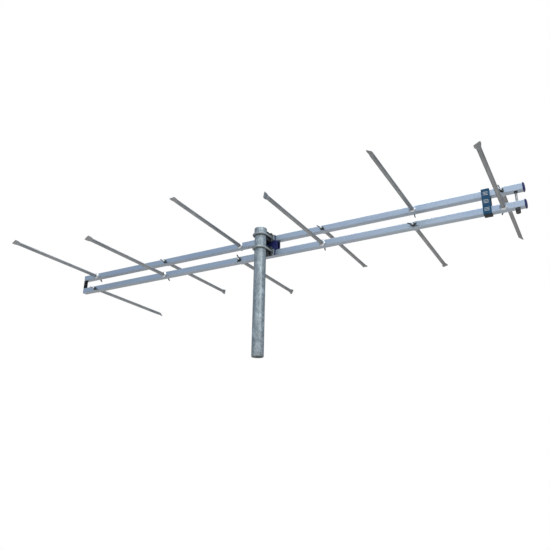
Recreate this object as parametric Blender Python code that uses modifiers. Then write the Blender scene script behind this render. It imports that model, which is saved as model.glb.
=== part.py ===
"""Twin-boom log-periodic VHF antenna on a galvanised mast stub.

Two parallel square booms carry six crossed dipoles, twelve half-elements in all. Each half-element
is a pinched round tube with a threaded stud that passes through its boom and takes a wing nut. The
booms are clamped to the mast by two U-bolts through an insulating block.

Frame: metres, +Z up the mast, origin at the middle of the mast's lower end, +X along the booms
towards the feed end, +Y from the mast towards the booms.
"""

import math

import bmesh
import bpy
from mathutils import Matrix, Vector

GAP = 0.0003                # air left between pieces that touch on the real object
WELD = 0.000002             # points closer than this are one

# Booms: one-inch square tube
BOOM_SIDE = 0.0254
BOOM_WALL = 0.0016
BOOM_CORNER = 0.0022
BOOM_SPACING = 0.0642       # between the boom centre lines
BOOM_REAR_X = -1.049
BOOM_FRONT_X = 1.015
HALF_SIDE = BOOM_SIDE / 2

# Mast and the place of the booms relative to it
MAST_RADIUS = 0.02415       # 1 1/2 inch steel pipe, 48.3 mm outside
MAST_WALL = 0.0032
BOOM_Y = 0.068              # mast axis to boom centre plane
MID_Z = 0.478               # halfway between the booms
UPPER_Z = MID_Z + BOOM_SPACING / 2
LOWER_Z = MID_Z - BOOM_SPACING / 2
MAST_TOP_Z = MID_Z + 0.054

# Dipoles, by the log-periodic rule: each length and gap is the one before times a ratio
DIPOLE_COUNT = 6
FIRST_X = -0.970
FIRST_GAP = 0.4257
GAP_RATIO = 0.9563
LAST_GAP = 0.3211           # the front pair stands closer than the rule gives
FIRST_HALF_LENGTH = 0.486   # boom centre to element tip
LENGTH_RATIO = 0.9867

# Half-elements
TUBE_RADIUS = 0.0074
TUBE_WALL = 0.0010
STUD_RADIUS = 0.0038
STUD_REACH = 0.0155         # beyond the boom face that the wing nut bears on
PLUG_LENGTH = 0.012
PINCH_LENGTH = 0.010        # flattened stretch at the tip
FLARE_LENGTH = 0.019        # round tube turning into the flat
PINCH_WIDTH = 0.0232
PINCH_THICKNESS = 0.0034
TUBE_SIDES = 12
# The tubes were pinched at any angle: the flat's direction from +X towards +Z, in degrees
NEAR_PINCH_ANGLES = (32, 35, 4, 80, 152, 27)
FAR_PINCH_ANGLES = (124, 78, 62, 0, 14, 140)
# One tube stands out of square: how far it rises for each metre from its root
RISES = {"element_3_near": 0.030}

# Dished seat between a tube's root and the boom
SEAT_RADIUS = 0.0135
SEAT_RIM = 0.0012
SEAT_COLLAR_RADIUS = 0.0093
SEAT_CONE_TOP = 0.0048
SEAT_HEIGHT = 0.0070
SEAT_BASE = 0.0022
SEAT_SIDES = 14

# Wing nuts
NUT_HUB_BASE = 0.0078
NUT_HUB_TOP = 0.0062
NUT_HUB_HEIGHT = 0.0090
NUT_BORE = 0.0042
WING_SPAN = 0.018           # axis to wing tip
WING_HEIGHT = 0.0180
WING_THICKNESS = 0.0032
NEAR_NUT_ANGLES = (158, 150, 96, 150, 169, 118)   # wings of the nuts on the near side, degrees
FAR_NUT_ANGLES = (80, 96, 20, 72, 84, 40)         # wings of the nuts on the far side, degrees
STUD_HOLE = 0.0044

# Mast clamp
UBOLT_ROD = 0.0040
UBOLT_BEND = MAST_RADIUS + UBOLT_ROD + 0.00065
UBOLT_OFFSET = 0.0295       # above and below MID_Z
UBOLT_END_Y = BOOM_Y + HALF_SIDE + 0.0150
LEG_HOLE = 0.0046
PLATE_THICKNESS = 0.0046
PLATE_WIDTH = 0.076
PLATE_HEIGHT = 0.027
FLANGE_THICKNESS = 0.0046   # of the insulating block, between plate and booms
FLANGE_WIDTH = 0.080
BLOCK_WIDTH = 0.097
JAW_WIDTH = 0.0460          # of the V's mouth
JAW_WING_WIDTH = 0.0610     # over the two wings, slotted for the U-bolt's legs
JAW_WING_THICKNESS = 0.0090
JAW_HEIGHT = 0.039
JAW_OFFSET = 0.0305         # above and below MID_Z
JAW_HALF_ANGLE = 50         # degrees, of the V that holds the mast
HEX_FLATS = 0.013
HEX_HEIGHT = 0.0065
COLLAR_RADIUS = 0.0258
COLLAR_CLEARANCE = 0.0008
COLLAR_TOP_Z = MID_Z + 0.058
COLLAR_BOTTOM_Z = MID_Z + UBOLT_OFFSET + UBOLT_ROD + COLLAR_CLEARANCE

# Boom ends, front clamp and rear spacer
CAP_SIDE = 0.0276
CAP_RIM = 0.0070
CAP_PLUG = 0.013
CLAMP_X = 0.891
CLAMP_WIDTH = 0.0285
CLAMP_SKIN = 0.0046
CLAMP_REACH_Z = 0.0490      # above and below MID_Z
REAR_SPACER_LENGTH = 0.009
REAR_SPACER_DEPTH = 0.0165

# Feed
FEED_X = 0.990
FEED_RADIUS = 0.0042
CONTACT_RADIUS = 0.0015
FEED_HOLE = 0.0052
CONNECTOR_RADIUS = 0.0085
CONNECTOR_LENGTH = 0.0168
SOCKET_RADIUS = 0.0054

UP = Vector((0, 0, 1))
TURN_TO_PLUS_Y = Matrix.Rotation(math.radians(-90), 4, "X")     # carries +Z to +Y


# ---------------------------------------------------------------- scene and material helpers

def clear_scene():
    for item in list(bpy.data.objects):
        bpy.data.objects.remove(item, do_unlink=True)


def new_collection(name):
    made = bpy.data.collections.new(name)
    bpy.context.scene.collection.children.link(made)
    return made


def make_material(name, colour, roughness, metallic):
    made = bpy.data.materials.new(name)
    made.use_nodes = True
    shader = made.node_tree.nodes["Principled BSDF"]
    shader.inputs["Base Color"].default_value = (*colour, 1.0)
    shader.inputs["Roughness"].default_value = roughness
    shader.inputs["Metallic"].default_value = metallic
    return made


def add_object(name, mesh, material, matrix=None, collection=None):
    made = bpy.data.objects.new(name, mesh)
    (collection or PARTS).objects.link(made)
    if material and not mesh.materials:
        mesh.materials.append(material)
    if matrix:
        made.matrix_world = matrix
    return made


def finish_mesh(bm, name):
    bmesh.ops.recalc_face_normals(bm, faces=bm.faces)
    mesh = bpy.data.meshes.new(name)
    bm.to_mesh(mesh)
    bm.free()
    mesh.shade_smooth()
    mesh.set_sharp_from_angle(angle=math.radians(35))
    return mesh


# ---------------------------------------------------------------- shape helpers

def box_mesh(name, low, high, bevel=0.0, long_axis=None, segments=2):
    """A box between two corners; bevel rounds all its edges, or only those along long_axis."""
    bm = bmesh.new()
    bmesh.ops.create_cube(bm, size=1.0)
    low, high = Vector(low), Vector(high)
    size = high - low
    bmesh.ops.scale(bm, vec=size, verts=bm.verts)
    bmesh.ops.translate(bm, vec=(low + high) / 2, verts=bm.verts)
    if bevel:
        edges = [e for e in bm.edges if long_axis is None or is_along(e, long_axis)]
        bmesh.ops.bevel(bm, geom=edges, offset=bevel, segments=segments, profile=0.5, affect="EDGES")
    return finish_mesh(bm, name)


def is_along(edge, axis):
    run = edge.verts[1].co - edge.verts[0].co
    return abs(run[axis]) > 0.99 * run.length


def cylinder_mesh(name, radius, start, end, sides=16):
    """A cylinder between two points."""
    start, end = Vector(start), Vector(end)
    bm = bmesh.new()
    bmesh.ops.create_cone(bm, cap_ends=True, segments=sides, radius1=radius, radius2=radius,
                          depth=(end - start).length)
    turn = UP.rotation_difference(end - start).to_matrix().to_4x4()
    bmesh.ops.transform(bm, matrix=Matrix.Translation((start + end) / 2) @ turn, verts=bm.verts)
    return finish_mesh(bm, name)


def turned_mesh(name, profile, sides):
    """The solid swept by a closed (radius, height) outline about Z, by a Screw modifier."""
    mesh = bpy.data.meshes.new(name)
    points = [(radius, 0, height) for radius, height in profile]
    count = len(points)
    on_axis = profile[0][0] == 0 and profile[-1][0] == 0
    edges = [(i, (i + 1) % count) for i in range(count - 1 if on_axis else count)]
    mesh.from_pydata(points, edges, [])
    source = bpy.data.objects.new(name, mesh)
    bpy.context.scene.collection.objects.link(source)
    screw = source.modifiers.new("turn", "SCREW")
    screw.steps = sides
    screw.render_steps = sides
    screw.use_merge_vertices = True
    screw.merge_threshold = 0.00001
    return bake(source, name)


def outline_mesh(name, outlines, thickness):
    """A plate in XY from closed outlines, the inner ones being holes, centred on z = 0."""
    curve = bpy.data.curves.new(name, "CURVE")
    curve.dimensions = "2D"
    curve.fill_mode = "BOTH"
    curve.extrude = thickness / 2
    for outline in outlines:
        spline = curve.splines.new("POLY")
        spline.points.add(len(outline) - 1)
        for point, (x, y) in zip(spline.points, outline):
            point.co = (x, y, 0, 1)
        spline.use_cyclic_u = True
    source = bpy.data.objects.new(name, curve)
    bpy.context.scene.collection.objects.link(source)
    return bake(source, name)


def rod_mesh(name, points, radius):
    """A round rod along a list of points, with welded caps."""
    curve = bpy.data.curves.new(name, "CURVE")
    curve.dimensions = "3D"
    curve.bevel_depth = radius
    curve.bevel_resolution = 2
    curve.use_fill_caps = True
    spline = curve.splines.new("POLY")
    spline.points.add(len(points) - 1)
    for point, place in zip(spline.points, points):
        point.co = (*place, 1)
    source = bpy.data.objects.new(name, curve)
    bpy.context.scene.collection.objects.link(source)
    return bake(source, name)


def bake(source, name):
    """Read an object as evaluated, weld it, and remove the object."""
    bpy.context.view_layer.update()
    graph = bpy.context.evaluated_depsgraph_get()
    raw = bpy.data.meshes.new_from_object(source.evaluated_get(graph))
    bm = bmesh.new()
    bm.from_mesh(raw)
    bmesh.ops.remove_doubles(bm, verts=bm.verts, dist=WELD)
    bpy.data.objects.remove(source, do_unlink=True)
    return finish_mesh(bm, name)


def combine(name, base, joined=(), cut=()):
    """A mesh with others joined to it and then cut from it, by Boolean modifiers."""
    source = bpy.data.objects.new(name, base)
    bpy.context.scene.collection.objects.link(source)
    helpers = []
    steps = [("UNION", mesh) for mesh in joined] + [("DIFFERENCE", mesh) for mesh in cut]
    for operation, mesh in steps:
        helper = bpy.data.objects.new(f"{name}_{len(helpers)}", mesh)
        CUTTERS.objects.link(helper)
        helpers.append(helper)
        boolean = source.modifiers.new(operation.lower(), "BOOLEAN")
        boolean.operation = operation
        boolean.solver = "EXACT"
        boolean.object = helper
    made = bake(source, name)
    for helper in helpers:
        bpy.data.objects.remove(helper, do_unlink=True)
    return made


def one_mesh(name, meshes):
    """Separate shapes that don't touch, in one mesh."""
    bm = bmesh.new()
    for mesh in meshes:
        bm.from_mesh(mesh)
    return finish_mesh(bm, name)


def loft_mesh(name, rings):
    """One closed skin over rings of equal point count, closed at both ends."""
    bm = bmesh.new()
    rows = [[bm.verts.new(point) for point in ring] for ring in rings]
    count = len(rows[0])
    for row, following in zip(rows, rows[1:]):
        for i in range(count):
            j = (i + 1) % count
            bm.faces.new((row[i], row[j], following[j], following[i]))
    bm.faces.new(rows[0])
    bm.faces.new(rows[-1])
    return finish_mesh(bm, name)


def circle(radius, sides, centre=(0, 0)):
    turns = [2 * math.pi * i / sides for i in range(sides)]
    return [(centre[0] + radius * math.cos(t), centre[1] + radius * math.sin(t)) for t in turns]


def rectangle(width, height, centre=(0, 0)):
    x, y = width / 2, height / 2
    corners = ((-x, -y), (x, -y), (x, y), (-x, y))
    return [(centre[0] + a, centre[1] + b) for a, b in corners]


# ---------------------------------------------------------------- stations

def station_xs():
    places = [FIRST_X]
    for i in range(DIPOLE_COUNT - 1):
        gap = LAST_GAP if i == DIPOLE_COUNT - 2 else FIRST_GAP * GAP_RATIO ** i
        places.append(places[-1] + gap)
    return places


def near_boom_z(index):
    """The near half-elements sit on the upper and lower boom in turn, the far ones on the other."""
    return UPPER_Z if index % 2 == 0 else LOWER_Z


def far_boom_z(index):
    return LOWER_Z if index % 2 == 0 else UPPER_Z


def facing(side, x, z):
    """Carries +Y, measured from the boom's centre, to the near (-Y) or far (+Y) side."""
    turn = Matrix.Rotation(math.pi if side == "near" else 0.0, 4, "Z")
    return Matrix.Translation((x, BOOM_Y, z)) @ turn


# ---------------------------------------------------------------- booms

def make_boom(name, z, studs, feed_walls):
    """A square tube drilled for its studs, for two U-bolt legs and for the feed rod."""
    lengthwise = 0
    skin = box_mesh(name, (BOOM_REAR_X, BOOM_Y - HALF_SIDE, z - HALF_SIDE),
                    (BOOM_FRONT_X, BOOM_Y + HALF_SIDE, z + HALF_SIDE), BOOM_CORNER, lengthwise)
    inner = HALF_SIDE - BOOM_WALL
    past = 0.01
    bore = box_mesh("bore", (BOOM_REAR_X - past, BOOM_Y - inner, z - inner),
                    (BOOM_FRONT_X + past, BOOM_Y + inner, z + inner))
    drills = [across_drill(STUD_HOLE, x, z) for x in studs]
    leg_z = MID_Z + math.copysign(UBOLT_OFFSET, z - MID_Z)
    drills += [across_drill(LEG_HOLE, x, leg_z) for x in (-UBOLT_BEND, UBOLT_BEND)]
    drills += [upright_drill(FEED_HOLE, FEED_X, z + wall * (HALF_SIDE - BOOM_WALL / 2))
               for wall in feed_walls]
    add_object(name, combine(name, skin, cut=[bore, one_mesh("drills", drills)]), ALUMINIUM)


def across_drill(radius, x, z):
    reach = HALF_SIDE + 0.005
    return cylinder_mesh("drill", radius, (x, BOOM_Y - reach, z), (x, BOOM_Y + reach, z), 12)


def upright_drill(radius, x, z):
    return cylinder_mesh("drill", radius, (x, BOOM_Y, z - 0.004), (x, BOOM_Y, z + 0.004), 12)


def make_booms():
    places = station_xs()
    make_boom("boom_upper", UPPER_Z, places, feed_walls=(-1,))
    make_boom("boom_lower", LOWER_Z, places, feed_walls=(-1, 1))


# ---------------------------------------------------------------- half-elements

def pinch_ring(y, width, height, angle):
    """A ring at y: an oval of the given width and height, its width turned from +X towards +Z."""
    ring = []
    c, s = math.cos(angle), math.sin(angle)
    for i in range(TUBE_SIDES):
        t = 2 * math.pi * i / TUBE_SIDES
        a, b = width / 2 * math.cos(t), height / 2 * math.sin(t)
        ring.append((a * c - b * s, y, a * s + b * c))
    return ring


def make_half_element(name, side, x, z, length, pinch_degrees):
    """Threaded stud, round tube and pinched tip in one piece; the tube is open at its tip."""
    angle = math.radians(pinch_degrees if side == "far" else 180 - pinch_degrees)
    root = HALF_SIDE + SEAT_BASE + 2 * GAP
    flat = length - PINCH_LENGTH
    flare = flat - FLARE_LENGTH
    bore = 2 * (TUBE_RADIUS - TUBE_WALL)
    slot = PINCH_THICKNESS - 2 * TUBE_WALL
    slot_width = PINCH_WIDTH - 2 * TUBE_WALL
    mid_width = (PINCH_WIDTH + 2 * TUBE_RADIUS) / 2
    rings = [
        pinch_ring(-HALF_SIDE - STUD_REACH, 2 * STUD_RADIUS, 2 * STUD_RADIUS, angle),
        pinch_ring(root, 2 * STUD_RADIUS, 2 * STUD_RADIUS, angle),
        pinch_ring(root, 2 * TUBE_RADIUS, 2 * TUBE_RADIUS, angle),
        pinch_ring(flare, 2 * TUBE_RADIUS, 2 * TUBE_RADIUS, angle),
        pinch_ring((flare + flat) / 2, mid_width, 1.32 * TUBE_RADIUS, angle),
        pinch_ring(flat, PINCH_WIDTH, PINCH_THICKNESS, angle),
        pinch_ring(length, PINCH_WIDTH, PINCH_THICKNESS, angle),
        pinch_ring(length, slot_width, slot, angle),
        pinch_ring(flat, slot_width, slot, angle),
        pinch_ring(flare, bore, bore, angle),
        pinch_ring(root + PLUG_LENGTH, bore, bore, angle),
    ]
    mesh = loft_mesh(name, rings)
    for vertex in mesh.vertices:
        vertex.co.z += RISES.get(name, 0.0) * max(vertex.co.y - root, 0.0)
    add_object(name, mesh, ELEMENT, facing(side, x, z))


def seat_profile():
    return [(STUD_HOLE, 0), (STUD_HOLE, SEAT_BASE), (TUBE_RADIUS + GAP, SEAT_BASE),
            (TUBE_RADIUS + GAP, SEAT_HEIGHT), (SEAT_COLLAR_RADIUS, SEAT_HEIGHT),
            (SEAT_COLLAR_RADIUS, SEAT_CONE_TOP), (SEAT_RADIUS, SEAT_RIM), (SEAT_RADIUS, 0)]


def wing_outline(sign):
    """One wing in (across, along the stud), leaning outwards from the hub."""
    root = 0.6 * NUT_HUB_TOP
    tip = WING_SPAN
    shape = [(root, 0.0006), (NUT_HUB_BASE + 0.0015, 0.0008), (0.80 * tip, 0.40 * WING_HEIGHT),
             (0.98 * tip, 0.76 * WING_HEIGHT), (tip, 0.92 * WING_HEIGHT), (0.93 * tip, WING_HEIGHT),
             (0.76 * tip, 0.97 * WING_HEIGHT), (0.56 * tip, 0.70 * WING_HEIGHT),
             (root, NUT_HUB_HEIGHT - 0.0008)]
    return [(sign * x, y) for x, y in shape]


def wing_nut_mesh():
    """Hub, two wings and a bore, with the bearing face at y = 0 and the wings towards +Y."""
    hub = turned_mesh("hub", [(0, NUT_HUB_HEIGHT), (NUT_HUB_TOP, NUT_HUB_HEIGHT),
                              (NUT_HUB_BASE, 0), (0, 0)], 12)
    hub.transform(TURN_TO_PLUS_Y)
    wings = [outline_mesh("wing", [wing_outline(sign)], WING_THICKNESS) for sign in (1, -1)]
    bore = cylinder_mesh("bore", NUT_BORE, (0, -0.01, 0), (0, 0.02, 0), 12)
    return combine("wing_nut", hub, wings, [bore])


def make_dipoles():
    seat = turned_mesh("root_seat", seat_profile(), SEAT_SIDES)
    seat.transform(Matrix.Translation((0, HALF_SIDE + GAP, 0)) @ TURN_TO_PLUS_Y)
    nut = wing_nut_mesh()
    for index, x in enumerate(station_xs()):
        length = FIRST_HALF_LENGTH * LENGTH_RATIO ** index
        near_z, far_z = near_boom_z(index), far_boom_z(index)
        number = index + 1
        make_half_element(f"element_{number}_near", "near", x, near_z, length,
                          NEAR_PINCH_ANGLES[index])
        make_half_element(f"element_{number}_far", "far", x, far_z, length,
                          FAR_PINCH_ANGLES[index])
        add_object(f"root_seat_{number}_near", seat, BRIGHT_ZINC, facing("near", x, near_z))
        add_object(f"root_seat_{number}_far", seat, BRIGHT_ZINC, facing("far", x, far_z))
        # a near half-element's stud comes out on the far side, and the other way round
        add_wing_nut(f"wing_nut_{number}_far", nut, "far", x, near_z, FAR_NUT_ANGLES[index])
        add_wing_nut(f"wing_nut_{number}_near", nut, "near", x, far_z, NEAR_NUT_ANGLES[index])


def add_wing_nut(name, mesh, side, x, z, degrees):
    turn = Matrix.Rotation(math.radians(-degrees if side == "far" else degrees), 4, "Y")
    out = Matrix.Translation((0, HALF_SIDE + GAP, 0))
    add_object(name, mesh, DARK_ZINC, facing(side, x, z) @ turn @ out)


# ---------------------------------------------------------------- mast and its clamp

def make_mast():
    bore = MAST_RADIUS - MAST_WALL
    pipe = turned_mesh("mast", [(MAST_RADIUS, MAST_TOP_Z), (MAST_RADIUS, 0), (bore, 0),
                                (bore, MAST_TOP_Z)], 32)
    add_object("mast", pipe, GALVANISED)
    skirt = MAST_RADIUS + GAP
    lid = MAST_TOP_Z + GAP
    edge = 0.0012
    cap = turned_mesh("mast_cap", [(0, COLLAR_TOP_Z), (COLLAR_RADIUS - edge, COLLAR_TOP_Z),
                                   (COLLAR_RADIUS, COLLAR_TOP_Z - edge),
                                   (COLLAR_RADIUS, COLLAR_BOTTOM_Z), (skirt, COLLAR_BOTTOM_Z),
                                   (skirt, lid), (0, lid)], 32)
    add_object("mast_cap", cap, GALVANISED)


def ubolt_points():
    """Leg, half turn round the mast on its near side, leg."""
    bends = 12
    arc = [math.pi + math.pi * i / bends for i in range(bends + 1)]
    points = [(-UBOLT_BEND, UBOLT_END_Y, 0)]
    points += [(UBOLT_BEND * math.cos(t), UBOLT_BEND * math.sin(t), 0) for t in arc]
    points.append((UBOLT_BEND, UBOLT_END_Y, 0))
    return points


def jaw_outline():
    """A V that holds the mast, with a wing each side; its back stands on the clamp plate."""
    back = plate_near_y() - GAP
    shoulder = back - JAW_WING_THICKNESS
    wing = JAW_WING_WIDTH / 2
    corner = 0.002
    slope = math.tan(math.radians(JAW_HALF_ANGLE))
    apex = (MAST_RADIUS + GAP) / math.sin(math.radians(JAW_HALF_ANGLE))
    half = JAW_WIDTH / 2
    tip = apex - half / slope
    right = [(half, tip), (half, shoulder),
             (wing - corner, shoulder), (wing, shoulder + corner), (wing, back)]
    left = [(-x, y) for x, y in reversed(right)]
    return left + [(0, apex)] + right


def plate_near_y():
    return BOOM_Y - HALF_SIDE - FLANGE_THICKNESS - PLATE_THICKNESS - 2 * GAP


def leg_holes(across):
    return [circle(LEG_HOLE, 12, (x, across)) for x in (-UBOLT_BEND, UBOLT_BEND)]


def hex_nut_mesh():
    corner = HEX_FLATS / math.sqrt(3)
    return outline_mesh("hex_nut", [circle(corner, 6), circle(UBOLT_ROD + 0.00035, 12)], HEX_HEIGHT)


def make_jaw(level, sign):
    """The V block between mast and plate; the upper one is relieved round the mast cap's skirt."""
    middle = MID_Z + sign * JAW_OFFSET
    jaw = loft_mesh("mast_jaw", [[(x, y, height) for x, y in jaw_outline()]
                                 for height in (middle - JAW_HEIGHT / 2, middle + JAW_HEIGHT / 2)])
    back = plate_near_y()
    z = MID_Z + sign * UBOLT_OFFSET
    cuts = [cylinder_mesh("leg_hole", LEG_HOLE, (x, back - 2 * JAW_WING_THICKNESS, z),
                          (x, back + GAP, z), 12) for x in (-UBOLT_BEND, UBOLT_BEND)]
    if sign > 0:
        cuts.append(cylinder_mesh("relief", COLLAR_RADIUS + COLLAR_CLEARANCE,
                                  (0, 0, COLLAR_BOTTOM_Z - COLLAR_CLEARANCE),
                                  (0, 0, COLLAR_TOP_Z), 32))
    jaw = combine("mast_jaw", jaw, cut=[one_mesh("cuts", cuts)])
    add_object(f"mast_jaw_{level}", jaw, BLACK_IRON)


def make_clamp_level(level, sign):
    """Everything that belongs to one U-bolt."""
    z = MID_Z + sign * UBOLT_OFFSET
    rod = rod_mesh("u_bolt", ubolt_points(), UBOLT_ROD)
    add_object(f"u_bolt_{level}", rod, GALVANISED, Matrix.Translation((0, 0, z)))
    make_jaw(level, sign)

    plate_z = MID_Z + sign * BOOM_SPACING / 2
    # an outline's +Y is the plate's -Z once it is turned to face along Y
    plate = outline_mesh("clamp_plate", [rectangle(PLATE_WIDTH, PLATE_HEIGHT)] +
                         leg_holes(plate_z - z), PLATE_THICKNESS)
    place = Vector((0, plate_near_y() + PLATE_THICKNESS / 2, plate_z))
    add_object(f"clamp_plate_{level}", plate, GALVANISED,
               Matrix.Translation(place) @ TURN_TO_PLUS_Y)

    nut = hex_nut_mesh()
    for hand, x in (("left", -UBOLT_BEND), ("right", UBOLT_BEND)):
        place = Vector((x, BOOM_Y + HALF_SIDE + GAP + HEX_HEIGHT / 2, z))
        add_object(f"u_bolt_nut_{level}_{hand}", nut, BRIGHT_ZINC,
                   Matrix.Translation(place) @ TURN_TO_PLUS_Y)


def make_insulating_block():
    """A core between the booms and a flange that keeps both booms off the clamp plates."""
    core_z = BOOM_SPACING / 2 - HALF_SIDE - GAP
    flange_z = BOOM_SPACING / 2 + HALF_SIDE
    face = BOOM_Y - HALF_SIDE - GAP
    core = box_mesh("core", (-BLOCK_WIDTH / 2, face - FLANGE_THICKNESS / 2, MID_Z - core_z),
                    (BLOCK_WIDTH / 2, BOOM_Y + HALF_SIDE, MID_Z + core_z), 0.0012, segments=1)
    flange = box_mesh("flange", (-FLANGE_WIDTH / 2, face - FLANGE_THICKNESS, MID_Z - flange_z),
                      (FLANGE_WIDTH / 2, face, MID_Z + flange_z), 0.0010, segments=1)
    drills = []
    for sign in (-1, 1):
        for x in (-UBOLT_BEND, UBOLT_BEND):
            z = MID_Z + sign * UBOLT_OFFSET
            drills.append(cylinder_mesh("drill", LEG_HOLE, (x, face - 0.01, z),
                                        (x, face + 0.01, z), 12))
    block = combine("insulating_block", flange, [core], drills)
    add_object("insulating_block", block, NAVY_PLASTIC)


def make_mast_clamp():
    make_clamp_level("upper", 1)
    make_clamp_level("lower", -1)
    make_insulating_block()


# ---------------------------------------------------------------- boom ends and front clamp

def make_end_cap(name, z):
    """A domed square cap whose plug fills the boom's open front end."""
    half = CAP_SIDE / 2
    start = BOOM_FRONT_X + GAP
    rim = box_mesh("rim", (start, BOOM_Y - half, z - half),
                   (start + CAP_RIM, BOOM_Y + half, z + half), 0.0026)
    plug_half = HALF_SIDE - BOOM_WALL - GAP
    plug = box_mesh("plug", (BOOM_FRONT_X - CAP_PLUG, BOOM_Y - plug_half, z - plug_half),
                    (start + CAP_RIM / 2, BOOM_Y + plug_half, z + plug_half))
    add_object(name, combine(name, rim, [plug]), NAVY_PLASTIC)


def make_rear_spacer():
    half_z = BOOM_SPACING / 2 - HALF_SIDE - GAP
    block = box_mesh("rear_spacer", (BOOM_REAR_X, BOOM_Y - HALF_SIDE, MID_Z - half_z),
                     (BOOM_REAR_X + REAR_SPACER_LENGTH, BOOM_Y - HALF_SIDE + REAR_SPACER_DEPTH,
                      MID_Z + half_z), 0.0008, segments=1)
    add_object("rear_spacer", block, BLACK_PLASTIC)


def make_front_clamp():
    """A cover over the near faces and the top, a strap round the bottom and back, and a spacer."""
    inside_z = BOOM_SPACING / 2 + HALF_SIDE + GAP
    near_in = -HALF_SIDE - GAP
    near_out = near_in - CLAMP_SKIN
    far_in = HALF_SIDE + GAP
    far_out = far_in + CLAMP_SKIN * 0.8
    top = CLAMP_REACH_Z
    cover = [(near_in, -inside_z + GAP), (near_in, inside_z), (far_out, inside_z), (far_out, top),
             (near_out + 0.0015, top), (near_out, top - 0.0015), (near_out, -top + 0.0015),
             (near_out + 0.0015, -top), (near_in, -top)]
    strap = [(near_in + GAP, -top), (far_out - 0.0012, -top), (far_out, -top + 0.0012),
             (far_out, inside_z - GAP), (far_in, inside_z - GAP), (far_in, -inside_z),
             (near_in + GAP, -inside_z)]
    for name, outline, material in (("front_clamp_cover", cover, BLUE_PLASTIC),
                                    ("front_clamp_strap", strap, BLACK_PLASTIC)):
        mesh = outline_mesh(name, [outline], CLAMP_WIDTH)
        add_object(name, mesh, material, clamp_place())
    half_z = BOOM_SPACING / 2 - HALF_SIDE - GAP
    spacer = box_mesh("front_spacer",
                      (CLAMP_X - CLAMP_WIDTH / 2, BOOM_Y - HALF_SIDE, MID_Z - half_z),
                      (CLAMP_X + CLAMP_WIDTH / 2, BOOM_Y + HALF_SIDE, MID_Z + half_z), 0.0008,
                      segments=1)
    add_object("front_spacer", spacer, BLUE_PLASTIC)


def clamp_place():
    """Carries an outline drawn in (Y, Z) to the front clamp's section, extruded along X."""
    axes = Matrix(((0, 0, 1, 0), (1, 0, 0, 0), (0, 1, 0, 0), (0, 0, 0, 1)))
    return Matrix.Translation((CLAMP_X, BOOM_Y, MID_Z)) @ axes


# ---------------------------------------------------------------- feed

def make_feed():
    """The rod that joins the upper boom to the connector's contact, and the connector itself."""
    place = Matrix.Translation((FEED_X, BOOM_Y, 0))
    under = LOWER_Z - HALF_SIDE
    above = UPPER_Z - HALF_SIDE
    nut_radius = 0.0066
    nut_height = 0.0044
    sleeve = LOWER_Z + HALF_SIDE - 0.004
    contact_end = under - CONNECTOR_LENGTH + 0.002
    rod = [(0, above + BOOM_WALL + 0.004), (FEED_RADIUS, above + BOOM_WALL + 0.004),
           (FEED_RADIUS, above - GAP), (nut_radius, above - GAP),
           (nut_radius, above - GAP - nut_height), (FEED_RADIUS, above - GAP - nut_height),
           (FEED_RADIUS, sleeve), (CONTACT_RADIUS, sleeve), (CONTACT_RADIUS, contact_end),
           (0, contact_end)]
    add_object("feed_rod", turned_mesh("feed_rod", rod, 16), ELEMENT, place)

    bore = 0.0042
    seat = under - 0.0060
    body = [(CONNECTOR_RADIUS, under - GAP), (CONNECTOR_RADIUS, under - CONNECTOR_LENGTH + 0.001),
            (CONNECTOR_RADIUS - 0.001, under - CONNECTOR_LENGTH),
            (SOCKET_RADIUS, under - CONNECTOR_LENGTH), (SOCKET_RADIUS, seat), (bore, seat),
            (bore, under - GAP)]
    add_object("connector_body", turned_mesh("connector_body", body, 20), DARK_METAL, place)

    lip = bore - GAP
    insulator = [(lip, under + BOOM_WALL + 0.004), (lip, seat - 0.0015),
                 (CONTACT_RADIUS + GAP, seat - 0.0015),
                 (CONTACT_RADIUS + GAP, under + BOOM_WALL + 0.004)]
    mesh = turned_mesh("connector_insulator", insulator, 16)
    add_object("connector_insulator", mesh, WHITE_PLASTIC, place)


# ---------------------------------------------------------------- build

clear_scene()
PARTS = new_collection("log_periodic_antenna")
CUTTERS = new_collection("cutters")

ALUMINIUM = make_material("anodised_aluminium", (0.55, 0.62, 0.70), 0.35, 1.0)
ELEMENT = make_material("weathered_aluminium", (0.42, 0.43, 0.43), 0.45, 1.0)
GALVANISED = make_material("galvanised_steel", (0.48, 0.53, 0.56), 0.5, 0.9)
BRIGHT_ZINC = make_material("bright_zinc", (0.78, 0.79, 0.80), 0.25, 1.0)
DARK_ZINC = make_material("dark_zinc", (0.12, 0.13, 0.13), 0.4, 0.9)
BLACK_IRON = make_material("black_iron", (0.03, 0.035, 0.04), 0.55, 0.6)
DARK_METAL = make_material("dark_metal", (0.06, 0.06, 0.06), 0.4, 0.8)
NAVY_PLASTIC = make_material("navy_plastic", (0.012, 0.016, 0.09), 0.35, 0.0)
BLUE_PLASTIC = make_material("blue_plastic", (0.02, 0.10, 0.24), 0.35, 0.0)
BLACK_PLASTIC = make_material("black_plastic", (0.01, 0.01, 0.012), 0.5, 0.0)
WHITE_PLASTIC = make_material("white_plastic", (0.8, 0.8, 0.78), 0.4, 0.0)

make_booms()
make_dipoles()
make_mast()
make_mast_clamp()
make_end_cap("end_cap_upper", UPPER_Z)
make_end_cap("end_cap_lower", LOWER_Z)
make_rear_spacer()
make_front_clamp()
make_feed()
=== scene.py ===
"""Looks of the twin-boom log-periodic antenna: fine meshes, materials, light and camera.

Metres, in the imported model's frame: +Z up the mast, +X along the booms to the feed end, +Y from the
mast towards the booms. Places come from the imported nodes' boxes.
"""

import math

import bmesh
import bpy
from mathutils import Matrix, Vector


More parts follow.
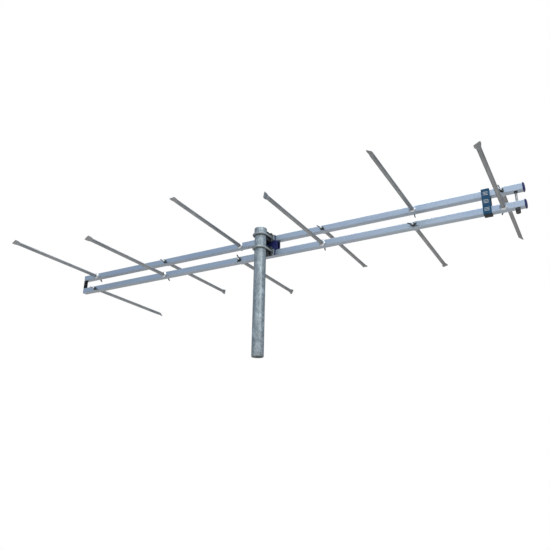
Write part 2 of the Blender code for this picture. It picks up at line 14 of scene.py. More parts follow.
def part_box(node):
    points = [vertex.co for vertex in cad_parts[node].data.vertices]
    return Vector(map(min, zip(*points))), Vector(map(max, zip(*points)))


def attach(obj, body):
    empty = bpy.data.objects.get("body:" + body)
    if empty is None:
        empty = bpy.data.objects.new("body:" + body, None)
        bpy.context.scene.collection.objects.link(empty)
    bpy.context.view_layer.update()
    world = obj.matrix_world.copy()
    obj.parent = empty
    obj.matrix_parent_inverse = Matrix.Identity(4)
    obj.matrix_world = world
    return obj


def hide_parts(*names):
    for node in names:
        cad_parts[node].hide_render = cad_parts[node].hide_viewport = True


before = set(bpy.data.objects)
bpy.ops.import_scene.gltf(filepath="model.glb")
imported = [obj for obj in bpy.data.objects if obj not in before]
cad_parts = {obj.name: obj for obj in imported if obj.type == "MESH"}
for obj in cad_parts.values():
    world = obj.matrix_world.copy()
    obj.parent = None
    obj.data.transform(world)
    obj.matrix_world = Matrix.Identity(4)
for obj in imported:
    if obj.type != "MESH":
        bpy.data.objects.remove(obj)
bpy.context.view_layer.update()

GAP = 0.0003
STATIONS = range(1, 7)

# Half-elements: outline of the tube and its pinched tip
TUBE_RADIUS = 0.0074
TUBE_WALL = 0.0010
PINCH_LENGTH = 0.010
FLARE_LENGTH = 0.019
PINCH_WIDTH = 0.0232
PINCH_THICKNESS = 0.0034
PLUG_LENGTH = 0.012         # solid stretch inside the tube's root
STUD_RADIUS = 0.0038
STUD_REACH = 0.0155
STUD_PITCH = 0.00125
NEAR_PINCH_ANGLES = (32, 35, 4, 80, 152, 27)     # of the flat, from +X towards +Z, in degrees
FAR_PINCH_ANGLES = (124, 78, 62, 0, 14, 140)
RISES = {"element_3_near": 0.030}                # a tube out of square: its rise per metre

# Dished seats under the half-elements
SEAT_BASE = 0.0022
SEAT_RADIUS = 0.0135
SEAT_RIM = 0.0012
SEAT_COLLAR_RADIUS = 0.0093
SEAT_CONE_TOP = 0.0048
SEAT_HEIGHT = 0.0070

# Wing nuts
HUB_BASE = 0.0078
HUB_TOP = 0.0062
HUB_HEIGHT = 0.0090
NUT_BORE = 0.0042
WING_SPAN = 0.018
WING_HEIGHT = 0.0180
WING_THICKNESS = 0.0032
CAST_VOXEL = 0.00042        # remeshing step that runs hub and wings together
NEAR_NUT_ANGLES = (158, 150, 96, 150, 169, 118)
FAR_NUT_ANGLES = (80, 96, 20, 72, 84, 40)

# Booms
BOOM_WALL = 0.0016
BOOM_CORNER = 0.0022
STUD_HOLE = 0.0044
LEG_HOLE = 0.0046
FEED_HOLE = 0.0052

# Mast and its clamp
MAST_WALL = 0.0032
AXIS_GAP = 0.0004           # radius of the small flat in the middle of the cap
UBOLT_ROD = 0.0040
UBOLT_PITCH = 0.00125
UBOLT_THREAD = 0.019
JAW_HALF_ANGLE = math.radians(50)
JAW_HALF_MOUTH = 0.023
JAW_WING_THICKNESS = 0.0090
JAW_TEETH = 7
JAW_TOOTH_DEPTH = 0.0009
HEX_FLATS = 0.013

# Grip bars on the front clamp's cover
GRIP_PANEL_PITCH = 0.0305
GRIP_BAR_PITCH = 0.0052
GRIP_HALF_HEIGHT = 0.0010
GRIP_HALF_WIDTH = 0.32      # share of the cover's width

# Feed rod and coaxial connector
FEED_ROD_RADIUS = 0.0042
FEED_ROD_PITCH = 0.0010
FEED_NUT_FLATS = 0.0114
FEED_NUT_HEIGHT = 0.0044
CONTACT_RADIUS = 0.0015
SOCKET_RADIUS = 0.0054
SHELF_DROP = 0.0060         # from the boom's underside to the shelf inside the socket
CONNECTOR_BORE = 0.0042
CONNECTOR_PITCH = 0.00106
KNURL_HEIGHT = 0.0046

AROUND_MAST = 112           # sides of the mast and its cap
AROUND_ROD = 32             # sides of tubes, rods and studs
AROUND_CONNECTOR = 144      # a multiple of the knurl's four steps
THREAD_STEPS = 8            # rings to a turn of thread

TURN_TO_PLUS_Y = Matrix.Rotation(math.radians(-90), 4, "X")
DRAWN_IN_YZ = Matrix(((0, 0, 1, 0), (1, 0, 0, 0), (0, 1, 0, 0), (0, 0, 0, 1)))
DRAWN_IN_XZ = Matrix(((1, 0, 0, 0), (0, 0, -1, 0), (0, 1, 0, 0), (0, 0, 0, 1)))


# ---------------------------------------------------------------- places read from the frame

def middle(node):
    low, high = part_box(node)
    return (low + high) / 2


def span(node):
    low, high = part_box(node)
    return high - low


BOOM_Y = middle("boom_upper").y
UPPER_Z = middle("boom_upper").z
LOWER_Z = middle("boom_lower").z
MID_Z = (UPPER_Z + LOWER_Z) / 2
HALF_SIDE = span("boom_upper").z / 2
TUBE_ROOT = HALF_SIDE + SEAT_BASE + 2 * GAP     # from the boom's centre to a tube's root
REAR_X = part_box("boom_upper")[0].x
FRONT_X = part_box("boom_upper")[1].x
MAST_RADIUS = span("mast").x / 2
FEED_X = middle("feed_rod").x
UBOLT_BEND = span("u_bolt_upper").x / 2 - UBOLT_ROD
UBOLT_END_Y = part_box("u_bolt_upper")[1].y


def station_x(number):
    return middle(f"root_seat_{number}_near").x


def facing(side, x, z):
    """Carries +Y, measured from the boom's centre, to the near (-Y) or far (+Y) side."""
    turn = Matrix.Rotation(math.pi if side == "near" else 0.0, 4, "Z")
    return Matrix.Translation((x, BOOM_Y, z)) @ turn


# ---------------------------------------------------------------- mesh helpers

def finished(mesh, sharp_degrees=38):
    """Outward normals, smooth shading and sharp creases."""
    bm = bmesh.new()
    bm.from_mesh(mesh)
    bmesh.ops.recalc_face_normals(bm, faces=bm.faces)
    bm.to_mesh(mesh)
    bm.free()
    mesh.shade_smooth()
    mesh.set_sharp_from_angle(angle=math.radians(sharp_degrees))
    return mesh


def skin(name, rings, loop=False):
    """Quads over rings of equal count; the end rings are capped, or joined if it is a loop."""
    count = len(rings[0])
    rows = len(rings)
    points = [point for section in rings for point in section]
    faces = []
    for row in range(rows if loop else rows - 1):
        a = row * count
        b = (row + 1) % rows * count
        faces += [(a + i, a + (i + 1) % count, b + (i + 1) % count, b + i) for i in range(count)]
    if not loop:
        faces.append(tuple(range(count)))
        faces.append(tuple(range((rows - 1) * count, rows * count)))
    mesh = bpy.data.meshes.new(name)
    mesh.from_pydata(points, [], faces)
    return finished(mesh)


def ring(radius, height, sides):
    turns = [2 * math.pi * i / sides for i in range(sides)]
    return [(radius * math.cos(t), radius * math.sin(t), height) for t in turns]


def lathe(name, profile, sides, loop=False):
    """A (radius, height) profile turned about Z; loop makes a hollow ring of a closed profile."""
    return skin(name, [ring(radius, height, sides) for radius, height in profile], loop)


def cylinder(radius, start, end, sides=AROUND_ROD):
    """A plain cylinder between two points."""
    start, end = Vector(start), Vector(end)
    mesh = skin("cylinder", [ring(radius, 0, sides), ring(radius, (end - start).length, sides)])
    turn = Vector((0, 0, 1)).rotation_difference(end - start).to_matrix().to_4x4()
    mesh.transform(Matrix.Translation(start) @ turn)
    return mesh


def filleted(points, radius, steps=4, closed=True):
    """The outline with its corners rounded; a radius too large for its sides is cut down to fit."""
    made = []
    count = len(points)
    for i, point in enumerate(points):
        corner = Vector(point)
        back = Vector(points[i - 1]) - corner
        ahead = Vector(points[(i + 1) % count]) - corner
        at_end = not closed and i in (0, count - 1)
        if at_end or back.angle(ahead) > math.radians(176):
            made.append(tuple(corner))
            continue
        half = back.angle(ahead) / 2
        reach = min(radius / math.tan(half), 0.48 * back.length, 0.48 * ahead.length)
        bisector = (back.normalized() + ahead.normalized()).normalized()
        centre = corner + bisector * (reach / math.cos(half))
        start = corner + back.normalized() * reach - centre
        end = corner + ahead.normalized() * reach - centre
        sweep = start.angle(end)
        for k in range(steps + 1):
            t = k / steps
            arm = (start * math.sin((1 - t) * sweep) + end * math.sin(t * sweep)) / math.sin(sweep)
            made.append(tuple(centre + arm))
    return made


def anticlockwise(outline):
    pairs = zip(outline, outline[1:] + outline[:1])
    area = sum(a[0] * b[1] - b[0] * a[1] for a, b in pairs)
    return outline if area > 0 else outline[::-1]


def inset(outline, distance):
    """The outline moved inwards by a small distance."""
    made = []
    for i, point in enumerate(outline):
        here = Vector(point)
        into = (here - Vector(outline[i - 1])).normalized()
        out = (Vector(outline[(i + 1) % len(outline)]) - here).normalized()
        normal = Vector((-into.y - out.y, into.x + out.x))
        stretch = max(0.35, normal.length / 2)
        made.append(tuple(here + normal.normalized() * (distance / stretch)))
    return made


def slab(name, outline, thickness, edge, steps=3):
    """A plate in XY about z = 0, from an outline, its rims rounded by edge."""
    outline = anticlockwise(list(outline))
    half = thickness / 2
    rims = []
    for k in range(steps + 1):
        t = math.pi / 2 * k / steps
        rims.append((edge * (1 - math.sin(t)), half - edge * (1 - math.cos(t))))
    rims.sort(key=lambda rim: rim[1])
    levels = [(depth, -height) for depth, height in reversed(rims)] + rims
    rings = []
    for depth, height in levels:
        shape = inset(outline, depth) if depth > 1e-9 else outline
        rings.append([(x, y, height) for x, y in shape])
    return skin(name, rings)


def rectangle(width, height):
    x, y = width / 2, height / 2
    return [(-x, -y), (x, -y), (x, y), (-x, y)]


def block(name, low, high, corner, edge, axis="Z"):
    """A moulded box: corners rounded about one axis, rims rounded by edge."""
    low, high = Vector(low), Vector(high)
    size = high - low
    turn = {"X": DRAWN_IN_YZ, "Y": DRAWN_IN_XZ, "Z": Matrix.Identity(4)}[axis]
    width, height, depth = {"X": (size.y, size.z, size.x), "Y": (size.x, size.z, size.y),
                            "Z": (size.x, size.y, size.z)}[axis]
    mesh = slab(name, filleted(rectangle(width, height), corner), depth, edge)
    mesh.transform(Matrix.Translation((low + high) / 2) @ turn)
    return mesh


def baked(source, name):
    """An object's evaluated mesh; the object is removed."""
    bpy.context.view_layer.update()
    graph = bpy.context.evaluated_depsgraph_get()
    mesh = bpy.data.meshes.new_from_object(source.evaluated_get(graph))
    mesh.name = name
    bpy.data.objects.remove(source, do_unlink=True)
    return finished(mesh)


def temporary(mesh):
    made = bpy.data.objects.new(mesh.name, mesh)
    bpy.context.scene.collection.objects.link(made)
    return made


def together(name, meshes):
    """Several meshes in one, not joined at their surfaces."""
    bm = bmesh.new()
    for mesh in meshes:
        bm.from_mesh(mesh)
    made = bpy.data.meshes.new(name)
    bm.to_mesh(made)
    bm.free()
    return finished(made)


def carved(name, base, joined=(), cut=(), common=()):
    """Exact Booleans: union, then difference, then intersection."""
    source = temporary(base)
    helpers = []
    steps = [("UNION", m) for m in joined] + [("DIFFERENCE", m) for m in cut]
    steps += [("INTERSECT", m) for m in common]
    for operation, mesh in steps:
        helpers.append(temporary(mesh))
        boolean = source.modifiers.new(operation, "BOOLEAN")
        boolean.operation = operation
        boolean.object = helpers[-1]
    made = baked(source, name)
    for helper in helpers:
        bpy.data.objects.remove(helper, do_unlink=True)
    return made


def thread_rings(radius, start, end, pitch, sides):
    """Rings of a screw thread about Z, its crest at the given radius, running out at both ends."""
    depth = 0.5 * pitch
    count = max(2, round((end - start) / pitch * THREAD_STEPS))
    rings = []
    for k in range(count + 1):
        z = start + (end - start) * k / count
        fade = min(1.0, (z - start) / pitch, (end - z) / pitch)
        points = []
        for i in range(sides):
            turn = i / sides
            flank = abs(2 * ((z / pitch - turn) % 1.0) - 1)
            r = radius - depth * fade * min(1.0, 1.25 * (1 - flank))
            points.append((r * math.cos(2 * math.pi * turn), r * math.sin(2 * math.pi * turn), z))
        rings.append(points)
    return rings


def hex_nut(name, flats, height, bore):
    """A nut about Z with chamfered corners, and its hole countersunk."""
    corner = flats / math.sqrt(3)
    hexagon = [(corner * math.cos(math.radians(60 * i)), corner * math.sin(math.radians(60 * i)))
               for i in range(6)]
    body = slab(name, filleted(hexagon, 0.0004, 2), height, 0.0002, 2)
    half = height / 2
    chamfer = 0.14 * (corner - flats / 2) + 0.0006
    lens = lathe("lens", [(flats / 2 * 0.96, -half), (corner + 0.0002, -half + chamfer),
                          (corner + 0.0002, half - chamfer), (flats / 2 * 0.96, half)], 64)
    sink = 0.0006
    hole = lathe("hole", [(bore + sink, -half - 0.0001), (bore, -half + sink), (bore, half - sink),
                          (bore + sink, half + 0.0001)], 32)
    return carved(name, body, cut=[hole], common=[lens])


# ---------------------------------------------------------------- materials

def new_node(tree, kind, **values):
    made = tree.nodes.new(kind)
    for key, value in values.items():
        setattr(made, key, value)
    return made


def set_stops(ramp_node, stops):
    """stops are (position, colour)."""
    elements = ramp_node.color_ramp.elements
    while len(elements) < len(stops):
        elements.new(0.5)
    for element, (position, colour) in zip(elements, stops):
        element.position = position
        element.color = (*colour, 1.0)


class Finish:
    """A material's node tree, with short calls for the nodes that the finishes use."""

    def __init__(self, name, metallic, **sockets):
        self.material = bpy.data.materials.new(name)
        self.material.use_nodes = True
        self.tree = self.material.node_tree
        self.shader = self.tree.nodes["Principled BSDF"]
        self.shader.inputs["Metallic"].default_value = metallic
        for socket, value in sockets.items():
            self.shader.inputs[socket.replace("_", " ")].default_value = value
        self.place = self.tree.nodes.new("ShaderNodeTexCoord").outputs["Object"]

    def node(self, kind, **values):
        return new_node(self.tree, kind, **values)

    def link(self, source, target):
        self.tree.links.new(source, target)

    def stretched(self, stretch):
        mapping = self.node("ShaderNodeMapping")
        mapping.inputs["Scale"].default_value = stretch
        self.link(self.place, mapping.inputs["Vector"])
        return mapping.outputs["Vector"]

    def noise(self, scale, detail=3.0, stretch=(1, 1, 1), distortion=0.0):
        made = self.node("ShaderNodeTexNoise")
        made.inputs["Scale"].default_value = scale
        made.inputs["Detail"].default_value = detail
        made.inputs["Distortion"].default_value = distortion
        self.link(self.stretched(stretch), made.inputs["Vector"])
        return made.outputs["Fac"]

    def cells(self, scale, stretch=(1, 1, 1)):
        made = self.node("ShaderNodeTexVoronoi")
        made.inputs["Scale"].default_value = scale
        self.link(self.stretched(stretch), made.inputs["Vector"])
        return made.outputs["Color"]

    def ramp(self, source, *stops):
        """stops are (position, grey or colour)."""
        made = self.node("ShaderNodeValToRGB")
        set_stops(made, [(position, (value,) * 3 if isinstance(value, (int, float)) else value)
                         for position, value in stops])
        self.link(source, made.inputs["Fac"])
        return made.outputs["Color"]

    def blend(self, first, second, factor=1.0, mode="MULTIPLY"):
        """Each of the three values is a socket, a number or a colour."""
        made = self.node("ShaderNodeMix", data_type="RGBA", blend_type=mode)
        for value, socket in ((factor, made.inputs[0]), (first, made.inputs[6]),
                              (second, made.inputs[7])):
            if isinstance(value, bpy.types.NodeSocket):
                self.link(value, socket)
            elif isinstance(value, (int, float)):
                socket.default_value = value
            else:
                socket.default_value = (*value, 1.0)
        return made.outputs[2]

    def worn_edges(self, low, high):
        """White on convex edges, black elsewhere."""
        pointiness = self.node("ShaderNodeNewGeometry").outputs["Pointiness"]
        return self.ramp(pointiness, (low, 0.0), (high, 1.0))

    def colour(self, source):
        self.link(source, self.shader.inputs["Base Color"])

    def roughness(self, source, low, high):
        self.link(self.ramp(source, (0.25, low), (0.75, high)), self.shader.inputs["Roughness"])

    def bump(self, height, distance, strength=1.0):
        made = self.node("ShaderNodeBump")
        made.inputs["Distance"].default_value = distance
        made.inputs["Strength"].default_value = strength
        previous = self.shader.inputs["Normal"].links
        if previous:
            self.link(previous[0].from_socket, made.inputs["Normal"])
        self.link(height, made.inputs["Height"])
        self.link(made.outputs["Normal"], self.shader.inputs["Normal"])


def anodised_aluminium():
    """Extruded tube: faint die lines along X, cloudy anodising, small dull specks."""
    f = Finish("anodised_aluminium", 1.0)
    clouds = f.noise(5, 3, (1, 3, 3), 0.4)
    lines = f.noise(1, 4, (3, 1400, 1400))
    specks = f.noise(420, 2)
    base = f.ramp(clouds, (0.30, (0.46, 0.53, 0.62)), (0.52, (0.53, 0.58, 0.65)),
                  (0.72, (0.50, 0.57, 0.62)))
    base = f.blend(base, f.ramp(lines, (0.30, 0.88), (0.65, 1.0)))
    base = f.blend(base, f.ramp(specks, (0.24, 0.62), (0.34, 1.0)))
    f.colour(base)
    f.roughness(f.noise(60, 4, (0.4, 6, 6)), 0.30, 0.44)
    f.bump(lines, 0.00004, 0.5)
    return f.material


def weathered_aluminium():
    """Drawn tube gone dull: grey oxide, streaks along Y, paler powdery patches."""
    f = Finish("weathered_aluminium", 1.0)
    streaks = f.noise(1, 4, (900, 5, 900))
    patches = f.noise(38, 5, (1, 0.35, 1), 0.6)
    pits = f.noise(700, 2)
    base = f.ramp(patches, (0.32, (0.36, 0.365, 0.37)), (0.55, (0.45, 0.45, 0.45)),
                  (0.78, (0.57, 0.57, 0.56)))
    base = f.blend(base, f.ramp(streaks, (0.25, 0.78), (0.70, 1.0)))
    base = f.blend(base, f.ramp(pits, (0.26, 0.6), (0.36, 1.0)))
    f.colour(base)
    f.roughness(patches, 0.38, 0.56)
    f.bump(streaks, 0.00004, 0.6)
    f.bump(pits, 0.00005, 0.4)
    return f.material


def galvanised_steel():
    """Hot-dip zinc: mottled crystals, soft runs and pale blooms down the pipe, a lumpy skin."""
    f = Finish("galvanised_steel", 0.7)
    crystals = f.cells(150, (1, 1, 0.7))
    grains = f.cells(420)
    runs = f.noise(34, 3, (1, 1, 0.16), 0.5)
    lumps = f.noise(160, 3)
    blooms = f.noise(48, 3, (1, 1, 0.45), 0.6)
    base = f.ramp(crystals, (0.15, (0.29, 0.33, 0.34)), (0.50, (0.36, 0.40, 0.41)),
                  (0.85, (0.44, 0.48, 0.48)))
    base = f.blend(base, f.ramp(grains, (0.2, 0.90), (0.8, 1.0)))
    base = f.blend(base, f.ramp(runs, (0.30, 0.84), (0.62, 1.0)))
    base = f.blend(base, f.ramp(blooms, (0.52, 1.0), (0.66, 1.45)))
    f.colour(base)
    f.roughness(crystals, 0.24, 0.42)
    f.bump(lumps, 0.0002, 0.5)
    f.bump(crystals, 0.00005, 0.5)
    return f.material


def bright_zinc():
    """Bright plating with fine wiping marks."""
    f = Finish("bright_zinc", 1.0)
    smear = f.noise(300, 4, (1, 1, 4))
    f.colour(f.ramp(smear, (0.3, (0.66, 0.68, 0.70)), (0.7, (0.82, 0.83, 0.84))))
    f.roughness(smear, 0.18, 0.32)
    f.bump(smear, 0.00003, 0.5)
    return f.material


def dark_zinc():
    """Black-green passivated casting, rubbed brighter on its edges."""
    f = Finish("dark_zinc", 0.85)
    cloud = f.noise(260, 4)
    base = f.ramp(cloud, (0.3, (0.045, 0.052, 0.050)), (0.7, (0.095, 0.105, 0.098)))
    base = f.blend(base, (0.34, 0.35, 0.34), f.worn_edges(0.54, 0.66), "MIX")
    f.colour(base)
    f.roughness(cloud, 0.34, 0.50)
    f.bump(f.noise(900, 3), 0.0001, 0.6)
    return f.material


def black_iron():
    """Cast and painted black, with a sandy skin."""
    f = Finish("black_iron", 0.35)
    sand = f.noise(1100, 4)
    cloud = f.noise(90, 3)
    base = f.ramp(cloud, (0.3, (0.012, 0.015, 0.018)), (0.7, (0.034, 0.040, 0.045)))
    f.colour(f.blend(base, (0.12, 0.12, 0.12), f.worn_edges(0.56, 0.72), "MIX"))
    f.roughness(cloud, 0.45, 0.62)
    f.bump(sand, 0.0003, 0.7)
    return f.material


def dark_metal():
    """Black nickel on the connector."""
    f = Finish("dark_metal", 0.9)
    smear = f.noise(500, 3)
    base = f.ramp(smear, (0.3, (0.05, 0.05, 0.052)), (0.7, (0.10, 0.10, 0.10)))
    f.colour(f.blend(base, (0.40, 0.39, 0.37), f.worn_edges(0.53, 0.64), "MIX"))
    f.roughness(smear, 0.28, 0.42)
    f.bump(smear, 0.00004, 0.5)
    return f.material


def moulded_plastic(name, dark, light, worn, low, high):
    """Injection-moulded skin: fine spark texture, faint clouding, paler rubbed edges."""
    f = Finish(name, 0.0, Specular_IOR_Level=0.3)
    cloud = f.noise(55, 4)
    base = f.ramp(cloud, (0.3, dark), (0.7, light))
    f.colour(f.blend(base, worn, f.worn_edges(0.55, 0.72), "MIX"))
    f.roughness(f.noise(140, 3), low, high)
    f.bump(f.noise(2400, 2), 0.00008, 0.6)
    return f.material


MATERIALS = {
    "anodised_aluminium": anodised_aluminium(),
    "weathered_aluminium": weathered_aluminium(),
    "galvanised_steel": galvanised_steel(),
    "bright_zinc": bright_zinc(),
    "dark_zinc": dark_zinc(),
    "black_iron": black_iron(),
    "dark_metal": dark_metal(),
    "navy_plastic": moulded_plastic("navy_plastic", (0.010, 0.012, 0.085), (0.018, 0.024, 0.125),
                                    (0.06, 0.08, 0.24), 0.30, 0.42),
    "blue_plastic": moulded_plastic("blue_plastic", (0.003, 0.050, 0.115), (0.007, 0.078, 0.160),
                                    (0.12, 0.30, 0.48), 0.32, 0.46),
    "black_plastic": moulded_plastic("black_plastic", (0.008, 0.009, 0.012), (0.016, 0.017, 0.020),
                                     (0.06, 0.06, 0.065), 0.40, 0.55),
    "white_plastic": moulded_plastic("white_plastic", (0.74, 0.74, 0.71), (0.84, 0.84, 0.82),
                                     (0.88, 0.88, 0.86), 0.35, 0.48),
}


def add(name, mesh, slot, stands_for=(), matrix=None, body="antenna"):
    """One visible piece: its finish, the body it rides on and the nodes it stands for."""
    piece = bpy.data.objects.new(name, mesh)
    bpy.context.scene.collection.objects.link(piece)
    if matrix:
        piece.matrix_world = matrix
    if not mesh.materials:
        mesh.materials.append(MATERIALS[slot])
    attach(piece, body)
    if stands_for:
        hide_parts(*([stands_for] if isinstance(stands_for, str) else stands_for))
    return piece


# ---------------------------------------------------------------- booms

def make_boom(level, z, feed_walls):
    """Extruded square tube, drilled for studs, U-bolt legs and the feed rod."""
    length = FRONT_X - REAR_X
    place = Matrix.Translation(((REAR_X + FRONT_X) / 2, BOOM_Y, z)) @ DRAWN_IN_YZ
    skin_mesh = slab("boom", filleted(rectangle(2 * HALF_SIDE, 2 * HALF_SIDE), BOOM_CORNER, 6),
                     length, 0.0003, 2)
    skin_mesh.transform(place)
    inner = 2 * (HALF_SIDE - BOOM_WALL)
    bore = slab("bore", filleted(rectangle(inner, inner), 0.0009, 3), length + 0.02, 0.0001, 1)
    bore.transform(place)
    near, far = BOOM_Y - HALF_SIDE - 0.004, BOOM_Y + HALF_SIDE + 0.004
    drills = [cylinder(STUD_HOLE, (station_x(n), near, z), (station_x(n), far, z))
              for n in STATIONS]
    leg_z = middle(f"u_bolt_{level}").z
    drills += [cylinder(LEG_HOLE, (x, near, leg_z), (x, far, leg_z))
               for x in (-UBOLT_BEND, UBOLT_BEND)]
    for wall in feed_walls:
        wall_z = z + wall * (HALF_SIDE - BOOM_WALL / 2)
        drills.append(cylinder(FEED_HOLE, (FEED_X, BOOM_Y, wall_z - 0.004),
                               (FEED_X, BOOM_Y, wall_z + 0.004)))
    mesh = carved(f"{level}_boom", skin_mesh, cut=[bore, together("drills", drills)])
    boom = add(f"{level}_boom", mesh, "anodised_aluminium", f"boom_{level}")
    weigh = boom.modifiers.new("flats", "WEIGHTED_NORMAL")
    weigh.keep_sharp = True


# ---------------------------------------------------------------- half-elements

def stadium(width, thickness, count):
    """Points at equal steps round a flattened tube's section, starting at its wide end."""
    radius = thickness / 2
    straight = max(width - thickness, 0.0)
    whole = 2 * straight + 2 * math.pi * radius
    points = []
    for i in range(count):
        s = i / count * whole
        s = (s + math.pi * radius / 2) % whole
        if s < math.pi * radius:
            t = s / radius - math.pi / 2
            points.append((straight / 2 + radius * math.cos(t), radius * math.sin(t)))
        elif s < math.pi * radius + straight:
            points.append((straight / 2 - (s - math.pi * radius), radius))
        elif s < 2 * math.pi * radius + straight:
            t = (s - math.pi * radius - straight) / radius + math.pi / 2
            points.append((-straight / 2 + radius * math.cos(t), radius * math.sin(t)))
        else:
            points.append((-straight / 2 + (s - 2 * math.pi * radius - straight), -radius))
    return points


def pinched_ring(y, radius, width, thickness, share, angle):
    """A section at y, between round (share 0) and flat (share 1), its flat turned by angle."""
    count = AROUND_ROD
    flat = stadium(width, thickness, count)
    points = []
    for i, (u, v) in enumerate(flat):
        t = 2 * math.pi * i / count
        a = (1 - share) * radius * math.cos(t) + share * u
        b = (1 - share) * radius * math.sin(t) + share * v
        points.append((a * math.cos(angle) - b * math.sin(angle), y,
                       a * math.sin(angle) + b * math.cos(angle)))
    return points


def tube_mesh(name, length, angle):
    """Round tube from its root, flared into a pinched and open tip at length from the boom."""
    flat = length - PINCH_LENGTH
    flare = flat - FLARE_LENGTH
    steps = 12
    edge = 0.0003
    shares = [(flare + (flat - flare) * k / steps, 0.5 - 0.5 * math.cos(math.pi * k / steps))
              for k in range(steps + 1)]
    outer = (TUBE_RADIUS, PINCH_WIDTH, PINCH_THICKNESS)
    inner = [size - loss * TUBE_WALL for size, loss in zip(outer, (1, 2, 2))]
    lip = [size - loss * edge for size, loss in zip(outer, (1, 2, 2))]
    rings = [pinched_ring(TUBE_ROOT, *lip, 0, angle),
             pinched_ring(TUBE_ROOT + edge, *outer, 0, angle)]
    rings += [pinched_ring(y, *outer, share, angle) for y, share in shares]
    rings += [pinched_ring(length - edge, *outer, 1, angle), pinched_ring(length, *lip, 1, angle)]
    rings += [pinched_ring(length, *inner, 1, angle)]
    rings += [pinched_ring(y, *inner, share, angle) for y, share in reversed(shares)]
    rings.append(pinched_ring(TUBE_ROOT + PLUG_LENGTH, *inner, 0, angle))
    return skin(name, rings)


def stud_mesh():
    """Screw thread where the wing nut runs, then plain shank to the tube's root."""
    tip = -HALF_SIDE - STUD_REACH
    run = -HALF_SIDE + 0.002
    rings = [ring(STUD_RADIUS - 0.0009, tip, AROUND_ROD)]
    rings += thread_rings(STUD_RADIUS, tip + 0.0006, run, STUD_PITCH, AROUND_ROD)
    rings.append(ring(STUD_RADIUS, TUBE_ROOT, AROUND_ROD))
    mesh = skin("stud", rings)
    mesh.transform(TURN_TO_PLUS_Y)
    return mesh


def seat_mesh():
    """Dished washer with a collar round the tube's root."""
    inside = TUBE_RADIUS + GAP
    base = [(STUD_HOLE, 0), (STUD_HOLE, SEAT_BASE), (inside, SEAT_BASE)]
    collar = [(inside, SEAT_HEIGHT), (SEAT_COLLAR_RADIUS, SEAT_HEIGHT),
              (SEAT_COLLAR_RADIUS, SEAT_CONE_TOP)]
    profile = filleted(base + collar + [(SEAT_RADIUS, SEAT_RIM), (SEAT_RADIUS, 0)], 0.0005, 3)
    mesh = lathe("seat", profile, 72, loop=True)
    mesh.transform(Matrix.Translation((0, HALF_SIDE + GAP, 0)) @ TURN_TO_PLUS_Y)
    return mesh


def wing_outline(sign):
    """One wing in (across, along the stud), leaning outwards from the hub."""
    root = 0.6 * HUB_TOP
    shape = [(root, 0.0006), (HUB_BASE + 0.0015, 0.0008), (0.80 * WING_SPAN, 0.40 * WING_HEIGHT),
             (0.985 * WING_SPAN, 0.76 * WING_HEIGHT), (WING_SPAN, 0.96 * WING_HEIGHT),
             (0.76 * WING_SPAN, WING_HEIGHT), (0.54 * WING_SPAN, 0.68 * WING_HEIGHT),
             (root, HUB_HEIGHT - 0.0008)]
    return filleted([(sign * x, y) for x, y in shape], 0.0045, 6)


def wing_nut_mesh():
    """A cast nut: hub and wings run together, faces smoothed as by the mould."""
    hub = lathe("hub", [(HUB_BASE - 0.0004, 0), (HUB_BASE, 0.0004), (HUB_TOP, HUB_HEIGHT - 0.0006),
                        (HUB_TOP - 0.0006, HUB_HEIGHT)], 64)
    hub.transform(TURN_TO_PLUS_Y)
    wings = [slab("wing", wing_outline(sign), WING_THICKNESS, 0.0012) for sign in (1, -1)]
    source = temporary(carved("wing_nut", hub, joined=wings))
    voxel = source.modifiers.new("cast", "REMESH")
    voxel.mode = "VOXEL"
    voxel.voxel_size = CAST_VOXEL
    relax = source.modifiers.new("relax", "SMOOTH")
    relax.factor = 0.5
    relax.iterations = 7
    fewer = source.modifiers.new("fewer", "DECIMATE")
    fewer.ratio = 0.30
    cast = baked(source, "wing_nut")
    sink, past = 0.0007, 0.001
    mouth = NUT_BORE + sink + past
    bore = lathe("bore", [(mouth, -past), (NUT_BORE, sink), (NUT_BORE, HUB_HEIGHT - sink),
                          (mouth, HUB_HEIGHT + past)], 48)
    bore.transform(TURN_TO_PLUS_Y)
    flat = block("flat", (-0.03, -0.02, -0.03), (0.03, 0.0, 0.03), 0.001, 0.0001)
    mesh = carved("wing_nut", cast, cut=[bore, flat])
    mesh.transform(Matrix.Translation((0, HALF_SIDE + GAP, 0)))
    return mesh


def make_half_element(number, side, stud, seat):
    """A tube with its stud and its seat, pointing away from the booms on its own side."""
    node = f"element_{number}_{side}"
    seat_node = f"root_seat_{number}_{side}"
    low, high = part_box(node)
    length = BOOM_Y - low.y if side == "near" else high.y - BOOM_Y
    degrees = (NEAR_PINCH_ANGLES if side == "near" else FAR_PINCH_ANGLES)[number - 1]
    angle = math.radians(180 - degrees if side == "near" else degrees)
    tube = tube_mesh("tube", length, angle)
    for vertex in tube.vertices:
        vertex.co.z += RISES.get(node, 0.0) * max(vertex.co.y - TUBE_ROOT, 0.0)
    place = facing(side, station_x(number), middle(seat_node).z)
    add(f"half_element_{number}_{side}", tube, "weathered_aluminium", node, place)
    add(f"stud_{number}_{side}", stud, "bright_zinc", matrix=place)
    add(f"seat_{number}_{side}", seat, "bright_zinc", seat_node, place)


def make_wing_nut(number, side, z, nut):
    """The nut on one side of the boom at z, its wings turned as they stand at rest."""
    node = f"wing_nut_{number}_{side}"
    degrees = (NEAR_NUT_ANGLES if side == "near" else FAR_NUT_ANGLES)[number - 1]
    turn = math.radians(degrees if side == "near" else -degrees)
    place = facing(side, station_x(number), z) @ Matrix.Rotation(turn, 4, "Y")
    add(f"nut_{number}_{side}", nut, "dark_zinc", node, place, node)


